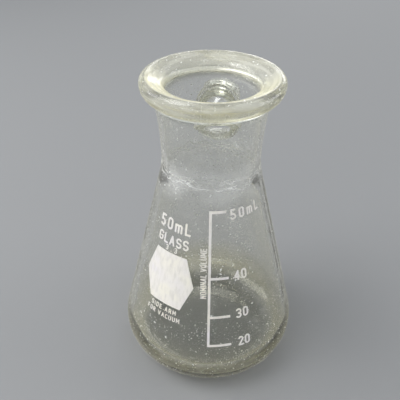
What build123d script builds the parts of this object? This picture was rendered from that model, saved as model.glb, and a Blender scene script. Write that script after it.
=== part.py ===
from build123d import *

import os
from math import cos, degrees, radians, sin, tan

# Erlenmeyer flask with a side arm, 50 mL: a thick-walled cone with a straight neck, a flared and
# beaded mouth, a ridged hose arm welded into the neck, and fired-on white enamel markings.
#
# Frame: millimetres, +Z up the flask's axis, origin at the centre of the base on the table.
# The side arm points along +Y, so the graduated side faces -Y. An azimuth is measured about Z from
# -Y towards +X, which is left to right for somebody who reads the scale.

# --- Body -------------------------------------------------------------------------------------------
CONE_FOOT_R = 26.6  # where the cone's line would meet the table
CONE_LEAN = 14.0  # degrees from upright
HEEL_ROUND = 8.0
RESTING_R = 15.0  # inner edge of the flat ring that the flask stands on
PUSH_UP = 1.1  # height of the dome under the base
WALL = 1.9
FLOOR_EDGE = (13.5, 3.0)  # edge of the domed floor: radius, height
FLOOR_TOP = 3.9  # height of the floor on the axis
INNER_HEEL_ROUND = 6.5

# --- Neck and mouth ---------------------------------------------------------------------------------
WAIST_R = 12.0
SHOULDER_ROUND = 20.0
NECK_FOOT_Z = 61.6  # the neck starts to widen here
NECK_TOP = (13.0, 74.0)  # radius and height where the throat of the flare starts
BEAD_CREASE = (14.0, 76.3)
BEAD_Z = 79.4  # height of the bead's widest line
RIM_R = 16.3
RIM_TOP = 81.0
CREST_ROUND = 1.5
LIP_SLOPE = 26.0  # degrees that the lip falls from its crest to the bore
LIP_INNER_ROUND = 1.8
BORE_R = 10.7

# --- Side arm ---------------------------------------------------------------------------------------
ARM_Z = 67.0
ARM_TUBE_R = 5.4
ARM_TIP_Y = 25.4
ARM_SEAM_Y = 14.6  # the arm's tube is welded to its stub on the neck here
ARM_PASSAGE_R = 3.3
ARM_ROOT_ROUND = 1.7  # outside, where the stub leaves the neck
ARM_MOUTH_ROUND = 1.6  # inside, where the passage leaves the bore
RIDGE_COUNT = 5
RIDGE_PITCH = 2.0
RIDGE_HEIGHT = 0.75
TIP_ROUND = 0.7

# --- Enamel -----------------------------------------------------------------------------------------
ENAMEL = 0.1
SCALE_AZIMUTH = 7.75
SCALE_LEVELS = (16.6, 25.05, 35.95, 53.1)  # heights of the 20, 30, 40 and 50 mL lines
SCALE_STROKE = 0.65
TICK_END_AZIMUTH = 23.2
BLOCK_AZIMUTH = -27.5  # middle of the marking spot and of the lines above and below it
SPOT_MIDDLE_Z = 33.3
SPOT_HEIGHT = 15.0
SPOT_TOP_WIDTH = 9.0
SPOT_MIDDLE_WIDTH = 14.4
SPOT_BOTTOM_WIDTH = 9.6
STROKE_RATIO = 0.18  # width of a stroke over the height of its letter

# --- Worked out from the above ----------------------------------------------------------------------
LEAN_TAN = tan(radians(CONE_LEAN))
LEAN_COS = cos(radians(CONE_LEAN))
LIP_TAN = tan(radians(LIP_SLOPE))
LIP_COS = cos(radians(LIP_SLOPE))
SHOULDER_Z = (CONE_FOOT_R - WAIST_R) / LEAN_TAN
CREST_CORNER_Z = RIM_TOP + CREST_ROUND * (LIP_TAN + 1 / LIP_COS - 1)
LIP_CORNER_Z = CREST_CORNER_Z - (RIM_R - BORE_R) * LIP_TAN
INNER_FOOT_R = CONE_FOOT_R - WALL / LEAN_COS
INNER_SHOULDER_Z = (INNER_FOOT_R - BORE_R) / LEAN_TAN
INNER_HEEL_R = INNER_FOOT_R - FLOOR_EDGE[1] * LEAN_TAN
STUB_START_Y = BORE_R / 2  # the stub is drawn from inside the bore, which is then cut clear again
EDGE_MARGIN = 0.3  # slack in the boxes that pick edges

ARM_AXIS = Axis((0, 0, ARM_Z), (0, 1, 0))
ARM_SECTION = Plane(origin=(0, 0, ARM_Z), x_dir=(0, 1, 0), z_dir=(1, 0, 0))
ARM_CROSS = Plane(origin=(0, 0, ARM_Z), x_dir=(-1, 0, 0), z_dir=(0, 1, 0))


def save(builder, name):
    """Label a finished piece and write it as its own STEP file."""
    builder.part.label = name
    export_step(builder.part, f"parts/{name}.step")


def cone_r(z):
    """Outside radius of the cone at a height."""
    return CONE_FOOT_R - z * LEAN_TAN


def wall_plane(azimuth, z):
    """Plane that touches the cone's outside at an azimuth and height, with its y up the wall."""
    a = radians(azimuth)
    radius = cone_r(z)
    lean = radians(CONE_LEAN)
    return Plane(
        origin=(radius * sin(a), -radius * cos(a), z),
        x_dir=(cos(a), sin(a), 0),
        z_dir=(sin(a) * cos(lean), -cos(a) * cos(lean), sin(lean)),
    )


os.makedirs("parts", exist_ok=True)

# --- Flask body: the wall all round, the stub that carries the side arm, and the stub's passage -------
with BuildPart() as flask_body:
    with BuildSketch(Plane.XZ):
        with BuildLine():
            Line((0, FLOOR_TOP), (0, PUSH_UP))
            TangentArc((0, PUSH_UP), (RESTING_R, 0), tangent=(1, 0))
            FilletPolyline(
                (RESTING_R, 0),
                (CONE_FOOT_R, 0),
                (WAIST_R, SHOULDER_Z),
                (WAIST_R, NECK_FOOT_Z),
                radius=(HEEL_ROUND, SHOULDER_ROUND),
            )
            neck_arc = TangentArc((WAIST_R, NECK_FOOT_Z), NECK_TOP, tangent=(0, 1))
            TangentArc(NECK_TOP, BEAD_CREASE, tangent=neck_arc % 1)
            TangentArc((RIM_R, BEAD_Z), BEAD_CREASE, tangent=(0, -1))
            FilletPolyline(
                (RIM_R, BEAD_Z),
                (RIM_R, CREST_CORNER_Z),
                (BORE_R, LIP_CORNER_Z),
                (BORE_R, INNER_SHOULDER_Z),
                (INNER_HEEL_R, FLOOR_EDGE[1]),
                FLOOR_EDGE,
                radius=(CREST_ROUND, LIP_INNER_ROUND, SHOULDER_ROUND, INNER_HEEL_ROUND),
            )
            TangentArc((0, FLOOR_TOP), FLOOR_EDGE, tangent=(1, 0))
        make_face()
    revolve(axis=Axis.Z)

    with BuildSketch(ARM_CROSS.offset(STUB_START_Y)):
        Circle(ARM_TUBE_R)
    extrude(amount=ARM_SEAM_Y - STUB_START_Y)
    root_edges = flask_body.edges().filter_by(
        lambda edge: BORE_R + EDGE_MARGIN < edge.bounding_box().max.Y < ARM_SEAM_Y - EDGE_MARGIN
        and edge.bounding_box().min.Y > STUB_START_Y
        and edge.bounding_box().min.Z > ARM_Z - ARM_TUBE_R - EDGE_MARGIN
        and edge.bounding_box().max.Z < ARM_Z + ARM_TUBE_R + EDGE_MARGIN
    )
    fillet(root_edges, ARM_ROOT_ROUND)
    with BuildSketch(Plane.XY.offset(ARM_Z - ARM_TUBE_R - EDGE_MARGIN)):
        Circle(BORE_R)
    extrude(amount=2 * (ARM_TUBE_R + EDGE_MARGIN), mode=Mode.SUBTRACT)
    with BuildSketch(ARM_CROSS):
        Circle(ARM_PASSAGE_R)
    extrude(amount=ARM_SEAM_Y, mode=Mode.SUBTRACT)
    mouth_edges = flask_body.edges().filter_by(
        lambda edge: edge.bounding_box().max.Y < BORE_R + EDGE_MARGIN
        and edge.bounding_box().min.Y > STUB_START_Y
        and abs(edge.center().Z - ARM_Z) < EDGE_MARGIN
    )
    fillet(mouth_edges, ARM_MOUTH_ROUND)
save(flask_body, "flask_body")

# The side arm is a plain tube with hose ridges all along its outside, welded to the stub.
with BuildPart() as side_arm:
    with BuildSketch(ARM_CROSS.offset(ARM_SEAM_Y)):
        Circle(ARM_TUBE_R)
        Circle(ARM_PASSAGE_R, mode=Mode.SUBTRACT)
    extrude(amount=ARM_TIP_Y - ARM_SEAM_Y)
    tip_edge = side_arm.edges().filter_by(GeomType.CIRCLE).group_by(Axis.Y)[-1].sort_by(SortBy.RADIUS)[-1]
    fillet(tip_edge, TIP_ROUND)
    with BuildSketch(ARM_SECTION):
        for ridge in range(RIDGE_COUNT):
            ridge_end = ARM_TIP_Y - TIP_ROUND - ridge * RIDGE_PITCH
            ridge_start = ridge_end - RIDGE_PITCH
            with BuildLine():
                ThreePointArc(
                    (ridge_start, ARM_TUBE_R),
                    ((ridge_start + ridge_end) / 2, ARM_TUBE_R + RIDGE_HEIGHT),
                    (ridge_end, ARM_TUBE_R),
                )
                Line((ridge_start, ARM_TUBE_R), (ridge_start, ARM_PASSAGE_R))
                Line((ridge_start, ARM_PASSAGE_R), (ridge_end, ARM_PASSAGE_R))
                Line((ridge_end, ARM_PASSAGE_R), (ridge_end, ARM_TUBE_R))
            make_face()
    revolve(axis=ARM_AXIS)
save(side_arm, "side_arm")


# --- Enamel: each marking is cut from a thin skin on the cone ----------------------------------------
SKIN_BOTTOM_Z = 12.0
SKIN_TOP_Z = 55.5
CUT_DEPTH = 3.0

with BuildPart() as enamel_skin:
    with BuildSketch(Plane.XZ):
        Polygon(
            (cone_r(SKIN_BOTTOM_Z), SKIN_BOTTOM_Z),
            (cone_r(SKIN_BOTTOM_Z) + ENAMEL, SKIN_BOTTOM_Z),
            (cone_r(SKIN_TOP_Z) + ENAMEL, SKIN_TOP_Z),
            (cone_r(SKIN_TOP_Z), SKIN_TOP_Z),
            align=None,
        )
    revolve(axis=Axis.Z)

# Single-stroke letters one unit high, on a baseline at 0: width, straight strokes as end points, and
# round strokes as centre, radius, and start and end angles in degrees, counter-clockwise.
GLYPHS = {
    "0": (0.44, [(0, 0.22, 0, 0.78), (0.44, 0.22, 0.44, 0.78)],
          [(0.22, 0.78, 0.22, 0, 180), (0.22, 0.22, 0.22, 180, 360)]),
    "2": (0.46, [(0.39, 0.64, 0, 0), (0, 0, 0.46, 0)], [(0.22, 0.78, 0.22, -40, 160)]),
    "3": (0.46, [], [(0.21, 0.75, 0.25, -90, 140), (0.21, 0.25, 0.25, -140, 90)]),
    "4": (0.5, [(0.36, 0, 0.36, 1), (0.36, 1, 0, 0.3), (0, 0.3, 0.5, 0.3)], []),
    "5": (0.46, [(0.42, 1, 0.04, 1), (0.04, 1, 0.04, 0.5)], [(0.19, 0.27, 0.27, -130, 123)]),
    ".": (0.04, [(0, 0, 0.04, 0)], []),
    "A": (0.52, [(0, 0, 0.26, 1), (0.26, 1, 0.52, 0), (0.1, 0.34, 0.42, 0.34)], []),
    "C": (0.46, [(0, 0.24, 0, 0.76)], [(0.24, 0.76, 0.24, 20, 180), (0.24, 0.24, 0.24, 180, 340)]),
    "D": (0.48, [(0, 0, 0, 1), (0, 1, 0.24, 1), (0, 0, 0.24, 0), (0.48, 0.24, 0.48, 0.76)],
          [(0.24, 0.76, 0.24, 0, 90), (0.24, 0.24, 0.24, -90, 0)]),
    "E": (0.4, [(0, 0, 0, 1), (0, 1, 0.4, 1), (0, 0.52, 0.34, 0.52), (0, 0, 0.4, 0)], []),
    "F": (0.4, [(0, 0, 0, 1), (0, 1, 0.4, 1), (0, 0.52, 0.34, 0.52)], []),
    "G": (0.48, [(0, 0.24, 0, 0.76), (0.26, 0.46, 0.48, 0.46), (0.48, 0.46, 0.48, 0.24)],
          [(0.24, 0.76, 0.24, 20, 180), (0.24, 0.24, 0.24, 180, 360)]),
    "I": (0.0, [(0, 0, 0, 1)], []),
    "L": (0.38, [(0, 0, 0, 1), (0, 0, 0.38, 0)], []),
    "M": (0.6, [(0, 0, 0, 1), (0, 1, 0.3, 0.3), (0.3, 0.3, 0.6, 1), (0.6, 1, 0.6, 0)], []),
    "N": (0.48, [(0, 0, 0, 1), (0, 1, 0.48, 0), (0.48, 0, 0.48, 1)], []),
    "O": (0.48, [(0, 0.24, 0, 0.76), (0.48, 0.24, 0.48, 0.76)],
          [(0.24, 0.76, 0.24, 0, 180), (0.24, 0.24, 0.24, 180, 360)]),
    "R": (0.48, [(0, 0, 0, 1), (0, 1, 0.22, 1), (0, 0.48, 0.22, 0.48), (0.24, 0.48, 0.48, 0)],
          [(0.22, 0.74, 0.26, -90, 90)]),
    "S": (0.46, [], [(0.23, 0.75, 0.25, 30, 270), (0.23, 0.25, 0.25, -150, 90)]),
    "U": (0.48, [(0, 0.24, 0, 1), (0.48, 0.24, 0.48, 1)], [(0.24, 0.24, 0.24, 180, 360)]),
    "V": (0.52, [(0, 1, 0.26, 0), (0.26, 0, 0.52, 1)], []),
    "m": (0.6, [(0, 0, 0, 0.68), (0.3, 0, 0.3, 0.53), (0.6, 0, 0.6, 0.53)],
          [(0.15, 0.53, 0.15, 0, 180), (0.45, 0.53, 0.15, 0, 180)]),
}
SPACE_WIDTH = 0.12


def draw_glyph(char, height):
    """Draw one letter in the current sketch, centred on the origin across and upwards."""
    width, straights, rounds = GLYPHS[char]
    stroke = height * STROKE_RATIO
    shift = Vector(-width * height / 2, -height / 2)
    for x0, y0, x1, y1 in straights:
        start = Vector(x0, y0) * height + shift
        end = Vector(x1, y1) * height + shift
        SlotArc(Edge.make_line(start, end), stroke)
    for x, y, radius, angle_from, angle_to in rounds:
        middle = Vector(x, y) * height + shift
        SlotArc(Edge.make_circle(radius * height, Plane(middle), angle_from, angle_to), stroke)


def letter_places(text, height, width):
    """Each letter of a line with the distance of its middle from the line's middle."""
    widths = [height * (SPACE_WIDTH if char == " " else GLYPHS[char][0]) for char in text]
    gap = (width - sum(widths)) / (len(text) - 1)
    places = []
    left = -width / 2
    for char, own_width in zip(text, widths):
        if char != " ":
            places.append((char, left + own_width / 2))
        left += own_width + gap
    return places


def print_across(name, text, azimuth, baseline_z, height, width):
    """A line of letters that runs round the cone."""
    middle_z = baseline_z + height * LEAN_COS / 2
    with BuildPart() as line:
        for char, place in letter_places(text, height, width):
            letter_azimuth = azimuth + degrees(place / cone_r(middle_z))
            with BuildSketch(wall_plane(letter_azimuth, middle_z)):
                draw_glyph(char, height)
            extrude(amount=CUT_DEPTH / 2, both=True)
        add(enamel_skin.part, mode=Mode.INTERSECT)
    save(line, name)


def print_upwards(name, text, azimuth, middle_z, height, width):
    """A line of letters that reads up the cone beside the scale."""
    offset = cone_r(middle_z) * radians(azimuth - SCALE_AZIMUTH)
    with BuildPart() as line:
        for char, place in letter_places(text, height, width):
            letter_z = middle_z + place * LEAN_COS
            letter_azimuth = SCALE_AZIMUTH + degrees(offset / cone_r(letter_z))
            upright = wall_plane(letter_azimuth, letter_z)
            with BuildSketch(Plane(upright.origin, x_dir=upright.y_dir, z_dir=upright.z_dir)):
                draw_glyph(char, height)
            extrude(amount=CUT_DEPTH / 2, both=True)
        add(enamel_skin.part, mode=Mode.INTERSECT)
    save(line, name)


# The scale: an upright line, with a line round the cone at each level.
with BuildPart() as graduation_scale:
    scale_middle_z = (SCALE_LEVELS[0] + SCALE_LEVELS[-1]) / 2
    scale_length = (SCALE_LEVELS[-1] - SCALE_LEVELS[0]) / LEAN_COS + SCALE_STROKE
    with BuildSketch(wall_plane(SCALE_AZIMUTH, scale_middle_z)):
        Rectangle(SCALE_STROKE, scale_length)
    extrude(amount=CUT_DEPTH / 2, both=True)
    for level in SCALE_LEVELS:
        tick_length = cone_r(level) * radians(TICK_END_AZIMUTH - SCALE_AZIMUTH)
        with BuildSketch(wall_plane((SCALE_AZIMUTH + TICK_END_AZIMUTH) / 2, level)):
            Rectangle(tick_length, SCALE_STROKE)
        extrude(amount=CUT_DEPTH / 2, both=True)
    add(enamel_skin.part, mode=Mode.INTERSECT)
save(graduation_scale, "graduation_scale")

# The marking spot, a plain six-sided patch to write on.
with BuildPart() as marking_spot:
    with BuildSketch(wall_plane(BLOCK_AZIMUTH, SPOT_MIDDLE_Z)):
        Polygon(
            (-SPOT_TOP_WIDTH / 2, SPOT_HEIGHT / 2),
            (SPOT_TOP_WIDTH / 2, SPOT_HEIGHT / 2),
            (SPOT_MIDDLE_WIDTH / 2, 0),
            (SPOT_BOTTOM_WIDTH / 2, -SPOT_HEIGHT / 2),
            (-SPOT_BOTTOM_WIDTH / 2, -SPOT_HEIGHT / 2),
            (-SPOT_MIDDLE_WIDTH / 2, 0),
            align=None,
        )
    extrude(amount=CUT_DEPTH, both=True)
    add(enamel_skin.part, mode=Mode.INTERSECT)
save(marking_spot, "marking_spot")

# Numbers beside the scale: azimuth of the middle, baseline height, letter height and line width.
print_across("numeral_50_ml", "50mL", 44.5, 51.0, 2.3, 7.8)
print_across("numeral_40", "40", 33.2, 34.95, 2.4, 3.0)
print_across("numeral_30", "30", 32.4, 24.1, 2.4, 3.0)
print_across("numeral_20", "20", 32.5, 15.65, 2.4, 2.9)

# Plain words in the places where such a flask carries its maker's lines.
print_across("capacity_mark", "50mL", BLOCK_AZIMUTH, 46.7, 2.7, 8.5)
print_across("glass_mark", "GLASS", BLOCK_AZIMUTH, 42.75, 2.3, 8.6)
print_across("glass_grade", "3.3", BLOCK_AZIMUTH, 41.05, 1.25, 3.2)
print_across("note_upper", "SIDE ARM", BLOCK_AZIMUTH, 23.9, 1.2, 7.7)
print_across("note_lower", "FOR VACUUM", BLOCK_AZIMUTH, 21.9, 1.2, 10.3)
print_upwards("scale_legend", "NOMINAL VOLUME", 2.9, 37.2, 1.3, 13.6)
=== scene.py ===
import math

import bpy
from mathutils import Matrix, Vector


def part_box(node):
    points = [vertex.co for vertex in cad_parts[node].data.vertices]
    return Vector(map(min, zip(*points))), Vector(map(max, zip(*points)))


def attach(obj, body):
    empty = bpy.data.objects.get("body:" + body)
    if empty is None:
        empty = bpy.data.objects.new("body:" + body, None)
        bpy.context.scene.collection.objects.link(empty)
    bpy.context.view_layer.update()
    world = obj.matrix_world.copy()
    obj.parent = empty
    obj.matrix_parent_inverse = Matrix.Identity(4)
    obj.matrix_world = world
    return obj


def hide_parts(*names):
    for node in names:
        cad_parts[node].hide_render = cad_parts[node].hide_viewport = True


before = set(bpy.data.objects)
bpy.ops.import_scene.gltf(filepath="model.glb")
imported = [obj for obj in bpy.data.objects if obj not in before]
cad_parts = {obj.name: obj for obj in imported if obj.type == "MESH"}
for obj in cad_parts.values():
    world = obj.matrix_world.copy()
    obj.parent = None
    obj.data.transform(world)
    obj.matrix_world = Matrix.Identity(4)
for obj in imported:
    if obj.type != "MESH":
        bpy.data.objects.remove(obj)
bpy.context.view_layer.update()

# The frame is in metres; sizes below are in millimetres times MM, and material patterns are in millimetres.
MM = 0.001
ROOT = "root"
GLASS_NODES = ("flask_body", "side_arm")

# --- Camera -----------------------------------------------------------------------------------------
CAMERA_PLACE = Vector((12.8, -102.0, 122.5)) * MM
CAMERA_DOWN = math.radians(36.36)
CAMERA_HEADING = math.radians(-8.63)
CAMERA_ROLL = math.radians(0.29)
CAMERA_LENS = 44.4
SENSOR_WIDTH = 36

# --- Side arm ---------------------------------------------------------------------------------------
ARM_LOW, ARM_HIGH = (Vector(corner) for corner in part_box("side_arm"))
ARM_Z = (ARM_LOW.z + ARM_HIGH.z) / 2
ARM_LENGTH = ARM_HIGH.y - ARM_LOW.y
RIDGE_R = ARM_HIGH.z - ARM_Z
RIDGE_HEIGHT = 0.75 * MM
RIDGE_COUNT = 5
TUBE_R = RIDGE_R - RIDGE_HEIGHT
PASSAGE_R = 3.3 * MM
TIP_ROUND = 0.7 * MM
WELD_OVERLAP = 0.06 * MM  # the arm reaches this far into its stub, so that light crosses the weld
WELD_STEP = 0.02 * MM  # the arm's end face is this much narrower than the stub's, inside and out
AROUND = 144  # points round the arm
RIDGE_POINTS = 14  # points along one ridge
RIDGE_BLUNTNESS = 0.8  # 1 gives a sine wave's crest, and less gives a blunter one
TIP_STEPS = 8
RIDGE_WANDER = 0.05 * MM  # how unevenly the ridges were pressed
QUICK_SHARE = 0.6  # the part of the unevenness that goes round three times, against the one that goes twice
SLOW_TWIST = 900  # radians that each of them turns in a metre of arm
QUICK_TWIST = 1300

# --- Glass ------------------------------------------------------------------------------------------
GLASS_IOR = 1.474
DUST_SHEEN = 0.4  # old dust, which shows most where the glass turns away
SHEEN_TINT = (1.0, 0.95, 0.74, 1)
CLEAR = (0.99, 0.99, 0.987, 1)
# Straw is thick glass's tint, and also the colour of the painted glow on the lip and heel.
STRAW_TINT_AND_PAINTED_GLOW = (0.92, 0.87, 0.61, 1)
DIRT = (0.95, 0.95, 0.93, 1)
WALL_TINT = (0.93, 0.93, 0.7, 1)
WALL_TINT_DENSITY = 55.0  # per metre
# Heights, radii and widths of the zones, in millimetres. A blend is the width of a zone's soft edge.
BEAD_FOOT_Z = 75.5
BEAD_BLEND = 2.0
NECK_FOOT_Z = 59.0
NECK_BLEND = 9.0
# The sloping inside of the lip lies above this height and within this radius.
LIP_FOOT_Z = 77.0
LIP_OUTER_R = 15.4
LIP_BLEND = 0.8
# The heel's dust, and its film that is partly a painted glow, lie below this height and outside this
# radius.
HEEL_DUST_Z = 17.0
HEEL_FADE = 12.0
HEEL_INNER_R = 18.0
HEEL_BLEND = 3.0
# The ring of scratches round the foot of the neck rises and falls. Haze reaches past it on both sides.
RING_SWAY = 4.0
RING_CORE = 0.6
RING_EDGE = 2.0
RING_HAZE_CORE = 1.0
RING_HAZE_EDGE = 6.0
# Strengths, from 0 to 1.
DIRT_COVER = 0.9
RING_HAZE = 0.24
BEAD_STRAW = 0.35
# The heel's straw is partly thick glass's tint and partly a painted glow.
HEEL_STRAW_AND_PAINTED_GLOW = 0.6
BEAD_ROUGHNESS = 0.16
CLEAN_ROUGHNESS = 0.01
DIRT_ROUGHNESS = 0.6
# Depths of the relief, in millimetres.
WAVE_DEPTH = 0.07
BODY_LINE_DEPTH = 0.003
BEAD_LINE_DEPTH = 0.07

# --- Enamel -----------------------------------------------------------------------------------------
WARM_WHITE = (0.79, 0.755, 0.665, 1)
COOL_WHITE = (0.74, 0.705, 0.71, 1)
DULL_WHITE = (0.67, 0.64, 0.59, 1)
PIN_HOLE_GREY = (0.45, 0.46, 0.45, 1)
PIN_HOLE_DARKNESS = 0.5
ENAMEL_RELIEF = 0.03  # millimetres

# --- Studio -----------------------------------------------------------------------------------------
FLOOR_HALF = 1.5
FLOOR_DROP = 0.05 * MM  # keeps the floor clear of the ring that the flask stands on
FLOOR_GREY = (0.27, 0.272, 0.277, 1)
SKY = (0.86, 0.9, 0.93, 1)
SKY_STRENGTH = 0.7
LIGHT_TARGET = Vector((0, 0, 0.04))
LIGHT_BOUNCES = 32  # light runs far along inside a thick glass wall
GLINT_LIMIT = 2.0  # the brightest that one reflected glint may be, which keeps the picture calm


def make_camera():
    """The camera looks down at the front of the flask from close by."""
    ahead = Vector((
        math.sin(CAMERA_HEADING) * math.cos(CAMERA_DOWN),
        math.cos(CAMERA_HEADING) * math.cos(CAMERA_DOWN),
        -math.sin(CAMERA_DOWN),
    ))
    right = Vector((math.cos(CAMERA_HEADING), -math.sin(CAMERA_HEADING), 0))
    up = right.cross(ahead)
    rolled_right = math.cos(CAMERA_ROLL) * right + math.sin(CAMERA_ROLL) * up
    rolled_up = math.cos(CAMERA_ROLL) * up - math.sin(CAMERA_ROLL) * right
    turn = Matrix((rolled_right, rolled_up, -ahead)).transposed().to_4x4()
    data = bpy.data.cameras.new("camera")
    data.lens = CAMERA_LENS
    data.sensor_width = SENSOR_WIDTH
    data.clip_start = 0.001
    camera = bpy.data.objects.new("camera", data)
    camera.matrix_world = Matrix.Translation(CAMERA_PLACE) @ turn
    bpy.context.scene.collection.objects.link(camera)
    bpy.context.scene.camera = camera


# --- Short calls for wiring nodes -------------------------------------------------------------------
def new_material(name):
    """A material with its node tree and its Principled shader."""
    material = bpy.data.materials.new(name)
    material.use_nodes = True
    tree = material.node_tree
    return material, tree, tree.nodes["Principled BSDF"]


def add_node(tree, kind, inputs, **settings):
    """Add a node. inputs maps a socket's name or number to a value, or to the output that feeds it."""
    node = tree.nodes.new(kind)
    for key, value in settings.items():
        setattr(node, key, value)
    for key, value in inputs.items():
        if isinstance(value, bpy.types.NodeSocket):
            tree.links.new(value, node.inputs[key])
        else:
            node.inputs[key].default_value = value
    return node


def calc(tree, operation, a, b=0.0, clamp=False):
    """One step of arithmetic on two values."""
    node = add_node(tree, "ShaderNodeMath", {0: a, 1: b}, operation=operation, use_clamp=clamp)
    return node.outputs[0]


def ramp(tree, value, low, high, to_low=0.0, to_high=1.0):
    """Bring a value's range low..high to to_low..to_high, held at the ends."""
    inputs = {"Value": value, "From Min": low, "From Max": high, "To Min": to_low, "To Max": to_high}
    return add_node(tree, "ShaderNodeMapRange", inputs).outputs["Result"]


def noise(tree, place, scale, detail=2.0):
    """Noise from 0 to 1, with scale in lumps per millimetre."""
    inputs = {"Vector": place, "Scale": scale, "Detail": detail}
    return add_node(tree, "ShaderNodeTexNoise", inputs).outputs["Fac"]


def mix_colour(tree, factor, a, b):
    """Colour a where the factor is 0, and colour b where it is 1."""
    inputs = {0: factor, 6: a, 7: b}
    return add_node(tree, "ShaderNodeMix", inputs, data_type="RGBA").outputs[2]


def object_place(tree):
    """The shaded point, in millimetres."""
    coord = add_node(tree, "ShaderNodeTexCoord", {}).outputs["Object"]
    return add_node(tree, "ShaderNodeVectorMath", {0: coord, "Scale": 1 / MM}, operation="SCALE").outputs[0]


def round_place(tree, place):
    """A point's height, its radius and its direction from the axis."""
    split = add_node(tree, "ShaderNodeSeparateXYZ", {0: place}).outputs
    flat = add_node(tree, "ShaderNodeCombineXYZ", {"X": split["X"], "Y": split["Y"]}).outputs[0]
    radius = add_node(tree, "ShaderNodeVectorMath", {0: flat}, operation="LENGTH").outputs["Value"]
    direction = add_node(tree, "ShaderNodeVectorMath", {0: flat}, operation="NORMALIZE").outputs[0]
    return split["Z"], radius, direction


def crumpled(tree, place, reach):
    """The place moved about by noise, up to reach millimetres, so that specks come out ragged."""
    inputs = {"Vector": place, "Scale": 2.5, "Detail": 2.0}
    lumps = add_node(tree, "ShaderNodeTexNoise", inputs).outputs["Color"]
    shift = add_node(
        tree, "ShaderNodeVectorMath", {0: lumps, 1: (0.5, 0.5, 0.5)}, operation="SUBTRACT"
    ).outputs[0]
    inputs = {0: shift, 1: (reach, reach, reach), 2: place}
    return add_node(tree, "ShaderNodeVectorMath", inputs, operation="MULTIPLY_ADD").outputs[0]


def specks(tree, place, per_mm, largest, share):
    """Specks, at most one to a cell: 1 inside, 0 outside. largest is in parts of a cell."""
    cell = add_node(tree, "ShaderNodeTexVoronoi", {"Vector": place, "Scale": per_mm}).outputs
    chance = add_node(tree, "ShaderNodeSeparateColor", {"Color": cell["Color"]}).outputs["Red"]
    size = ramp(tree, chance, 1 - share, 1.0, 0.0, largest)
    depth = calc(tree, "SUBTRACT", size, cell["Distance"])
    return calc(tree, "DIVIDE", depth, 0.35 * largest, clamp=True)


def scratches(tree, place, axis, angle, per_mm, thickness, share):
    """Short straight scratches, about eight times as long as a cell is wide."""
    turned = add_node(tree, "ShaderNodeVectorRotate", {"Vector": place, "Axis": axis, "Angle": angle})
    stretched = add_node(
        tree, "ShaderNodeVectorMath", {0: turned.outputs[0], 1: (0.1, 1.0, 1.0)}, operation="MULTIPLY"
    )
    return specks(tree, stretched.outputs[0], per_mm, thickness, share)


def tooling_lines(tree, height, radius, direction, per_mm):
    """Noise that is drawn out round the axis, as a tool leaves on glass that turns."""
    inputs = {0: direction, "Scale": 2.0}
    around = add_node(tree, "ShaderNodeVectorMath", inputs, operation="SCALE").outputs[0]
    lift = add_node(tree, "ShaderNodeCombineXYZ", {"Z": calc(tree, "MULTIPLY", height, per_mm)}).outputs[0]
    place = add_node(tree, "ShaderNodeVectorMath", {0: around, 1: lift}, operation="ADD").outputs[0]
    inputs = {"Vector": place, "W": calc(tree, "MULTIPLY", radius, per_mm), "Scale": 1.0, "Detail": 3.0}
    return add_node(tree, "ShaderNodeTexNoise", inputs, noise_dimensions="4D").outputs["Fac"]


def highest(tree, *values):
    """The highest of several values."""
    top = values[0]
    for value in values[1:]:
        top = calc(tree, "MAXIMUM", top, value)
    return top


def glass_zones(tree, height, radius, direction):
    """How much, from 0 to 1, a point belongs to each part of the flask that looks different."""
    at_bead = ramp(tree, height, BEAD_FOOT_Z, BEAD_FOOT_Z + BEAD_BLEND)
    on_lip = ramp(tree, radius, LIP_OUTER_R - LIP_BLEND, LIP_OUTER_R, 1.0, 0.0)
    above_lip_foot = ramp(tree, height, LIP_FOOT_Z, LIP_FOOT_Z + LIP_BLEND)
    at_lip = calc(tree, "MULTIPLY", on_lip, above_lip_foot)
    toward_back = add_node(tree, "ShaderNodeSeparateXYZ", {0: direction}).outputs["Y"]
    # The lip's straw is a painted glow, strongest at the front of the flask and fading towards the back.
    painted_lip_glow = calc(tree, "MULTIPLY", at_lip, ramp(tree, toward_back, -0.4, 0.4, 1.0, 0.3))
    at_neck = ramp(tree, height, NECK_FOOT_Z - NECK_BLEND, NECK_FOOT_Z)
    low = ramp(tree, height, HEEL_DUST_Z - HEEL_FADE, HEEL_DUST_Z, 1.0, 0.0)
    at_heel = calc(tree, "MULTIPLY", low, ramp(tree, radius, HEEL_INNER_R, HEEL_INNER_R + HEEL_BLEND))
    return at_bead, painted_lip_glow, at_neck, at_heel


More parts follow.
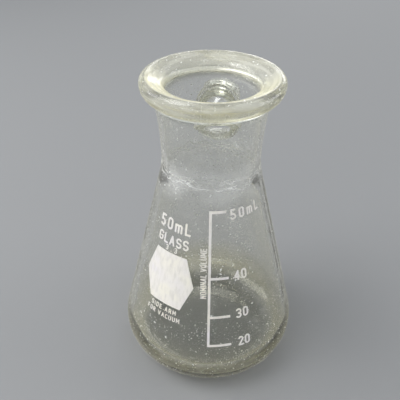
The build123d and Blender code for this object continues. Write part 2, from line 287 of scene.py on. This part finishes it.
def glass_dirt(tree, place, height, radius, direction, at_neck, at_heel):
    """Dust and scratches, with the haze round the foot of the neck."""
    swayed = calc(tree, "ADD", height, calc(tree, "MULTIPLY", noise(tree, place, 0.35), RING_SWAY))
    from_ring = calc(tree, "SUBTRACT", swayed, NECK_FOOT_Z + RING_SWAY / 2)
    from_ring = calc(tree, "ABSOLUTE", from_ring)
    at_ring = ramp(tree, from_ring, RING_CORE, RING_EDGE, 1.0, 0.0)

    patches = ramp(tree, noise(tree, place, 0.09), 0.42, 0.62, 0.25, 1.0)
    worn = highest(tree, patches, at_neck, at_heel)
    ragged = crumpled(tree, place, 0.9)
    fine_dust = specks(tree, ragged, 1.5, 0.29, 0.75)
    coarse_dust = specks(tree, ragged, 0.6, 0.2, 0.42)
    steep_hairs = scratches(tree, ragged, (0, 1, 0), 1.35, 1.4, 0.12, 0.55)
    slanting_hairs = scratches(tree, ragged, (0.3, 1, 0.2), 0.5, 1.4, 0.11, 0.4)
    dust = highest(tree, fine_dust, coarse_dust, steep_hairs, slanting_hairs)

    streaks = ramp(tree, tooling_lines(tree, swayed, radius, direction, 5.0), 0.53, 0.58)
    breaks = ramp(tree, noise(tree, place, 1.1), 0.38, 0.46)
    ring = calc(tree, "MULTIPLY", calc(tree, "MULTIPLY", streaks, breaks), at_ring)
    dirt = calc(tree, "MAXIMUM", calc(tree, "MULTIPLY", dust, worn), ring, clamp=True)
    ring_haze = ramp(tree, from_ring, RING_HAZE_CORE, RING_HAZE_EDGE, RING_HAZE, 0.0)
    return dirt, calc(tree, "MULTIPLY", ring_haze, patches)


def glass_material():
    """Old borosilicate glass: faintly straw-coloured, wavy, dusty, and scratched round the neck, with a
    painted straw glow on the lip and partly at the heel.
    """
    material, tree, shader = new_material("borosilicate_glass")
    shader.inputs["IOR"].default_value = GLASS_IOR
    shader.inputs["Sheen Weight"].default_value = DUST_SHEEN
    shader.inputs["Sheen Roughness"].default_value = 0.35
    shader.inputs["Sheen Tint"].default_value = SHEEN_TINT

    place = object_place(tree)
    height, radius, direction = round_place(tree, place)
    at_bead, painted_lip_glow, at_neck, at_heel = glass_zones(tree, height, radius, direction)
    dirt, ring_haze = glass_dirt(tree, place, height, radius, direction, at_neck, at_heel)
    lines = tooling_lines(tree, height, radius, direction, 1.1)

    # Dirt and thin films scatter light: they are pale and let little or none through. The heel's film is
    # dust and partly a painted glow, and the lip's film is a painted glow.
    haze = ramp(tree, noise(tree, place, 0.22, 4.0), 0.5, 0.8, 0.0, 0.05)
    # The heel's pale straw film is dust and partly a painted glow.
    heel_dust_and_glow_patches = ramp(tree, noise(tree, place, 0.5, 3.0), 0.3, 0.7, 0.03, 0.15)
    heel_dust_and_painted_glow = calc(tree, "MULTIPLY", at_heel, heel_dust_and_glow_patches)
    bead_film = calc(tree, "MULTIPLY", at_bead, ramp(tree, lines, 0.35, 0.65, 0.08, 0.35))
    # The lip's pale straw film is a painted glow.
    painted_lip_glow_film = calc(tree, "MULTIPLY", painted_lip_glow, ramp(tree, lines, 0.3, 0.6, 0.4, 0.8))
    dirt_cover = calc(tree, "MULTIPLY", dirt, DIRT_COVER)
    cover = highest(tree, dirt_cover, bead_film, painted_lip_glow_film, heel_dust_and_painted_glow, ring_haze, haze)
    tree.links.new(calc(tree, "SUBTRACT", 1.0, cover), shader.inputs["Transmission Weight"])

    # Straw gives the bead thick glass's tint. At the heel it is partly a painted glow, and on the lip it is
    # wholly one.
    bead_straw = calc(tree, "MULTIPLY", at_bead, BEAD_STRAW)
    heel_straw_and_painted_glow = calc(tree, "MULTIPLY", at_heel, HEEL_STRAW_AND_PAINTED_GLOW)
    glass = mix_colour(tree, highest(tree, bead_straw, heel_straw_and_painted_glow, painted_lip_glow), CLEAR, STRAW_TINT_AND_PAINTED_GLOW)
    tree.links.new(mix_colour(tree, dirt, glass, DIRT), shader.inputs["Base Color"])

    dirt_roughness = ramp(tree, dirt, 0.0, 1.0, CLEAN_ROUGHNESS, DIRT_ROUGHNESS)
    frosted = calc(tree, "MULTIPLY", at_bead, BEAD_ROUGHNESS)
    tree.links.new(highest(tree, dirt_roughness, frosted), shader.inputs["Roughness"])

    # The wall is a little wavy, and the bead keeps the lines of the tool that turned it.
    waves = calc(tree, "MULTIPLY", noise(tree, place, 0.13, 1.0), WAVE_DEPTH)
    line_depth = ramp(tree, at_bead, 0.0, 1.0, BODY_LINE_DEPTH, BEAD_LINE_DEPTH)
    relief = calc(tree, "ADD", waves, calc(tree, "MULTIPLY", lines, line_depth))
    bump = add_node(tree, "ShaderNodeBump", {"Strength": 1.0, "Distance": MM, "Height": relief})
    tree.links.new(bump.outputs["Normal"], shader.inputs["Normal"])

    inputs = {"Color": WALL_TINT, "Density": WALL_TINT_DENSITY}
    absorb = add_node(tree, "ShaderNodeVolumeAbsorption", inputs)
    tree.links.new(absorb.outputs["Volume"], tree.nodes["Material Output"].inputs["Volume"])
    return material


def enamel_material():
    """Fired white enamel: bright, slightly mottled, with pin holes."""
    material, tree, shader = new_material("white_enamel")
    place = object_place(tree)
    inputs = {0: place, 1: (1.0, 1.0, 0.25)}
    drawn_up = add_node(tree, "ShaderNodeVectorMath", inputs, operation="MULTIPLY").outputs[0]
    mottle = noise(tree, drawn_up, 1.3, 3.0)
    broad = ramp(tree, noise(tree, place, 0.16), 0.35, 0.65)
    white = mix_colour(tree, broad, WARM_WHITE, COOL_WHITE)
    white = mix_colour(tree, ramp(tree, mottle, 0.3, 0.55), DULL_WHITE, white)
    pin_holes = specks(tree, place, 1.6, 0.16, 0.3)
    darkness = calc(tree, "MULTIPLY", pin_holes, PIN_HOLE_DARKNESS)
    tree.links.new(mix_colour(tree, darkness, white, PIN_HOLE_GREY), shader.inputs["Base Color"])
    tree.links.new(ramp(tree, mottle, 0.3, 0.7, 0.35, 0.6), shader.inputs["Roughness"])
    raised = calc(tree, "MULTIPLY", mottle, ENAMEL_RELIEF)
    sunk = calc(tree, "MULTIPLY", pin_holes, ENAMEL_RELIEF)
    relief = calc(tree, "SUBTRACT", raised, sunk)
    bump = add_node(tree, "ShaderNodeBump", {"Strength": 0.6, "Distance": MM, "Height": relief})
    tree.links.new(bump.outputs["Normal"], shader.inputs["Normal"])
    return material


# --- Side arm ---------------------------------------------------------------------------------------
def arm_profile():
    """Radius and distance along the arm, from the inner edge of the weld round the outside and back."""
    start = -WELD_OVERLAP
    points = [(PASSAGE_R + WELD_STEP, start), (TUBE_R - WELD_STEP, start), (TUBE_R, WELD_OVERLAP)]
    ridge_zone = ARM_LENGTH - TIP_ROUND
    pitch = (ridge_zone - WELD_OVERLAP) / RIDGE_COUNT
    for step in range(1, RIDGE_COUNT * RIDGE_POINTS):
        share = step / RIDGE_POINTS
        crest = abs(math.sin(math.pi * share)) ** RIDGE_BLUNTNESS
        points.append((TUBE_R + RIDGE_HEIGHT * crest, WELD_OVERLAP + pitch * share))
    turns = [math.pi / 2 * step / TIP_STEPS for step in range(TIP_STEPS + 1)]
    for turn in turns:
        radius = TUBE_R - TIP_ROUND * (1 - math.cos(turn))
        points.append((radius, ridge_zone + TIP_ROUND * math.sin(turn)))
    for turn in turns:
        radius = PASSAGE_R + TIP_ROUND * (1 - math.sin(turn))
        points.append((radius, ridge_zone + TIP_ROUND * math.cos(turn)))
    points.append((PASSAGE_R, WELD_OVERLAP))
    return points


def make_arm(glass):
    """The hose arm, turned round its own axis, with ridges that are not quite even."""
    profile = arm_profile()
    count = len(profile)
    verts = []
    for turn in range(AROUND):
        angle = 2 * math.pi * turn / AROUND
        for radius, along in profile:
            on_ridge = max(0.0, radius - TUBE_R) / RIDGE_HEIGHT
            slow = math.sin(2 * angle + SLOW_TWIST * along)
            quick = math.sin(3 * angle - QUICK_TWIST * along)
            wander = slow + QUICK_SHARE * quick - (1 + QUICK_SHARE)
            uneven = radius + on_ridge * RIDGE_WANDER * wander
            verts.append((uneven * math.cos(angle), ARM_LOW.y + along, ARM_Z + uneven * math.sin(angle)))
    faces = []
    for turn in range(AROUND):
        here = turn * count
        there = (turn + 1) % AROUND * count
        for step in range(count):
            after = (step + 1) % count
            faces.append((here + step, here + after, there + after, there + step))
    data = bpy.data.meshes.new("hose_arm")
    data.from_pydata(verts, [], faces)
    data.validate()
    data.shade_smooth()
    data.materials.append(glass)
    arm = bpy.data.objects.new("hose_arm", data)
    bpy.context.scene.collection.objects.link(arm)
    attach(arm, ROOT)
    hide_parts("side_arm")


# --- Studio -----------------------------------------------------------------------------------------
def make_floor():
    """A plain pale floor that reaches far past the flask."""
    data = bpy.data.meshes.new("floor")
    corners = [(-1, -1), (1, -1), (1, 1), (-1, 1)]
    data.from_pydata([(FLOOR_HALF * x, FLOOR_HALF * y, 0) for x, y in corners], [], [(0, 1, 2, 3)])
    floor = bpy.data.objects.new("floor", data)
    floor.location.z = -FLOOR_DROP
    bpy.context.scene.collection.objects.link(floor)
    material, _, shader = new_material("floor")
    shader.inputs["Base Color"].default_value = FLOOR_GREY
    shader.inputs["Roughness"].default_value = 0.8
    shader.inputs["Specular IOR Level"].default_value = 0.2
    data.materials.append(material)


def area_light(name, place, width, height, power, through_glass=True):
    """A soft box that faces the flask. With through_glass off, the glass doesn't show it lying behind."""
    data = bpy.data.lights.new(name, "AREA")
    data.shape = "RECTANGLE"
    data.size = width
    data.size_y = height
    data.energy = power
    light = bpy.data.objects.new(name, data)
    light.visible_transmission = through_glass
    light.location = place
    light.rotation_euler = (LIGHT_TARGET - Vector(place)).to_track_quat("-Z", "Y").to_euler()
    bpy.context.scene.collection.objects.link(light)


def make_lights():
    """A pale sky and soft boxes all round, each placed for the highlights that it makes in the glass."""
    scene = bpy.context.scene
    scene.view_settings.view_transform = "Standard"
    scene.cycles.max_bounces = LIGHT_BOUNCES
    scene.cycles.transmission_bounces = LIGHT_BOUNCES
    scene.cycles.sample_clamp_indirect = GLINT_LIMIT
    world = bpy.data.worlds.new("world")
    scene.world = world
    world.use_nodes = True
    background = world.node_tree.nodes["Background"]
    background.inputs["Color"].default_value = SKY
    background.inputs["Strength"].default_value = SKY_STRENGTH
    area_light("window", (-0.3, -0.15, 0.45), 0.2, 0.3, 1.0)
    area_light("left_box", (-0.42, 0.04, 0.42), 0.26, 0.6, 1.5)
    area_light("right_box", (0.5, 0.12, 0.16), 0.4, 0.25, 1.0, through_glass=False)
    area_light("back_box", (0.1, 0.55, 0.2), 0.3, 0.1, 0.35)
    area_light("high_box", (-0.04, 0.5, 0.335), 0.22, 0.08, 0.17)
    area_light("front_box", (-0.14, -0.5, 0.14), 0.4, 0.2, 0.7)


make_camera()
make_floor()
make_lights()
glass_look = glass_material()
enamel_look = enamel_material()
for node_name, node_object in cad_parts.items():
    node_object.data.materials.clear()
    node_object.data.materials.append(glass_look if node_name in GLASS_NODES else enamel_look)
make_arm(glass_look)
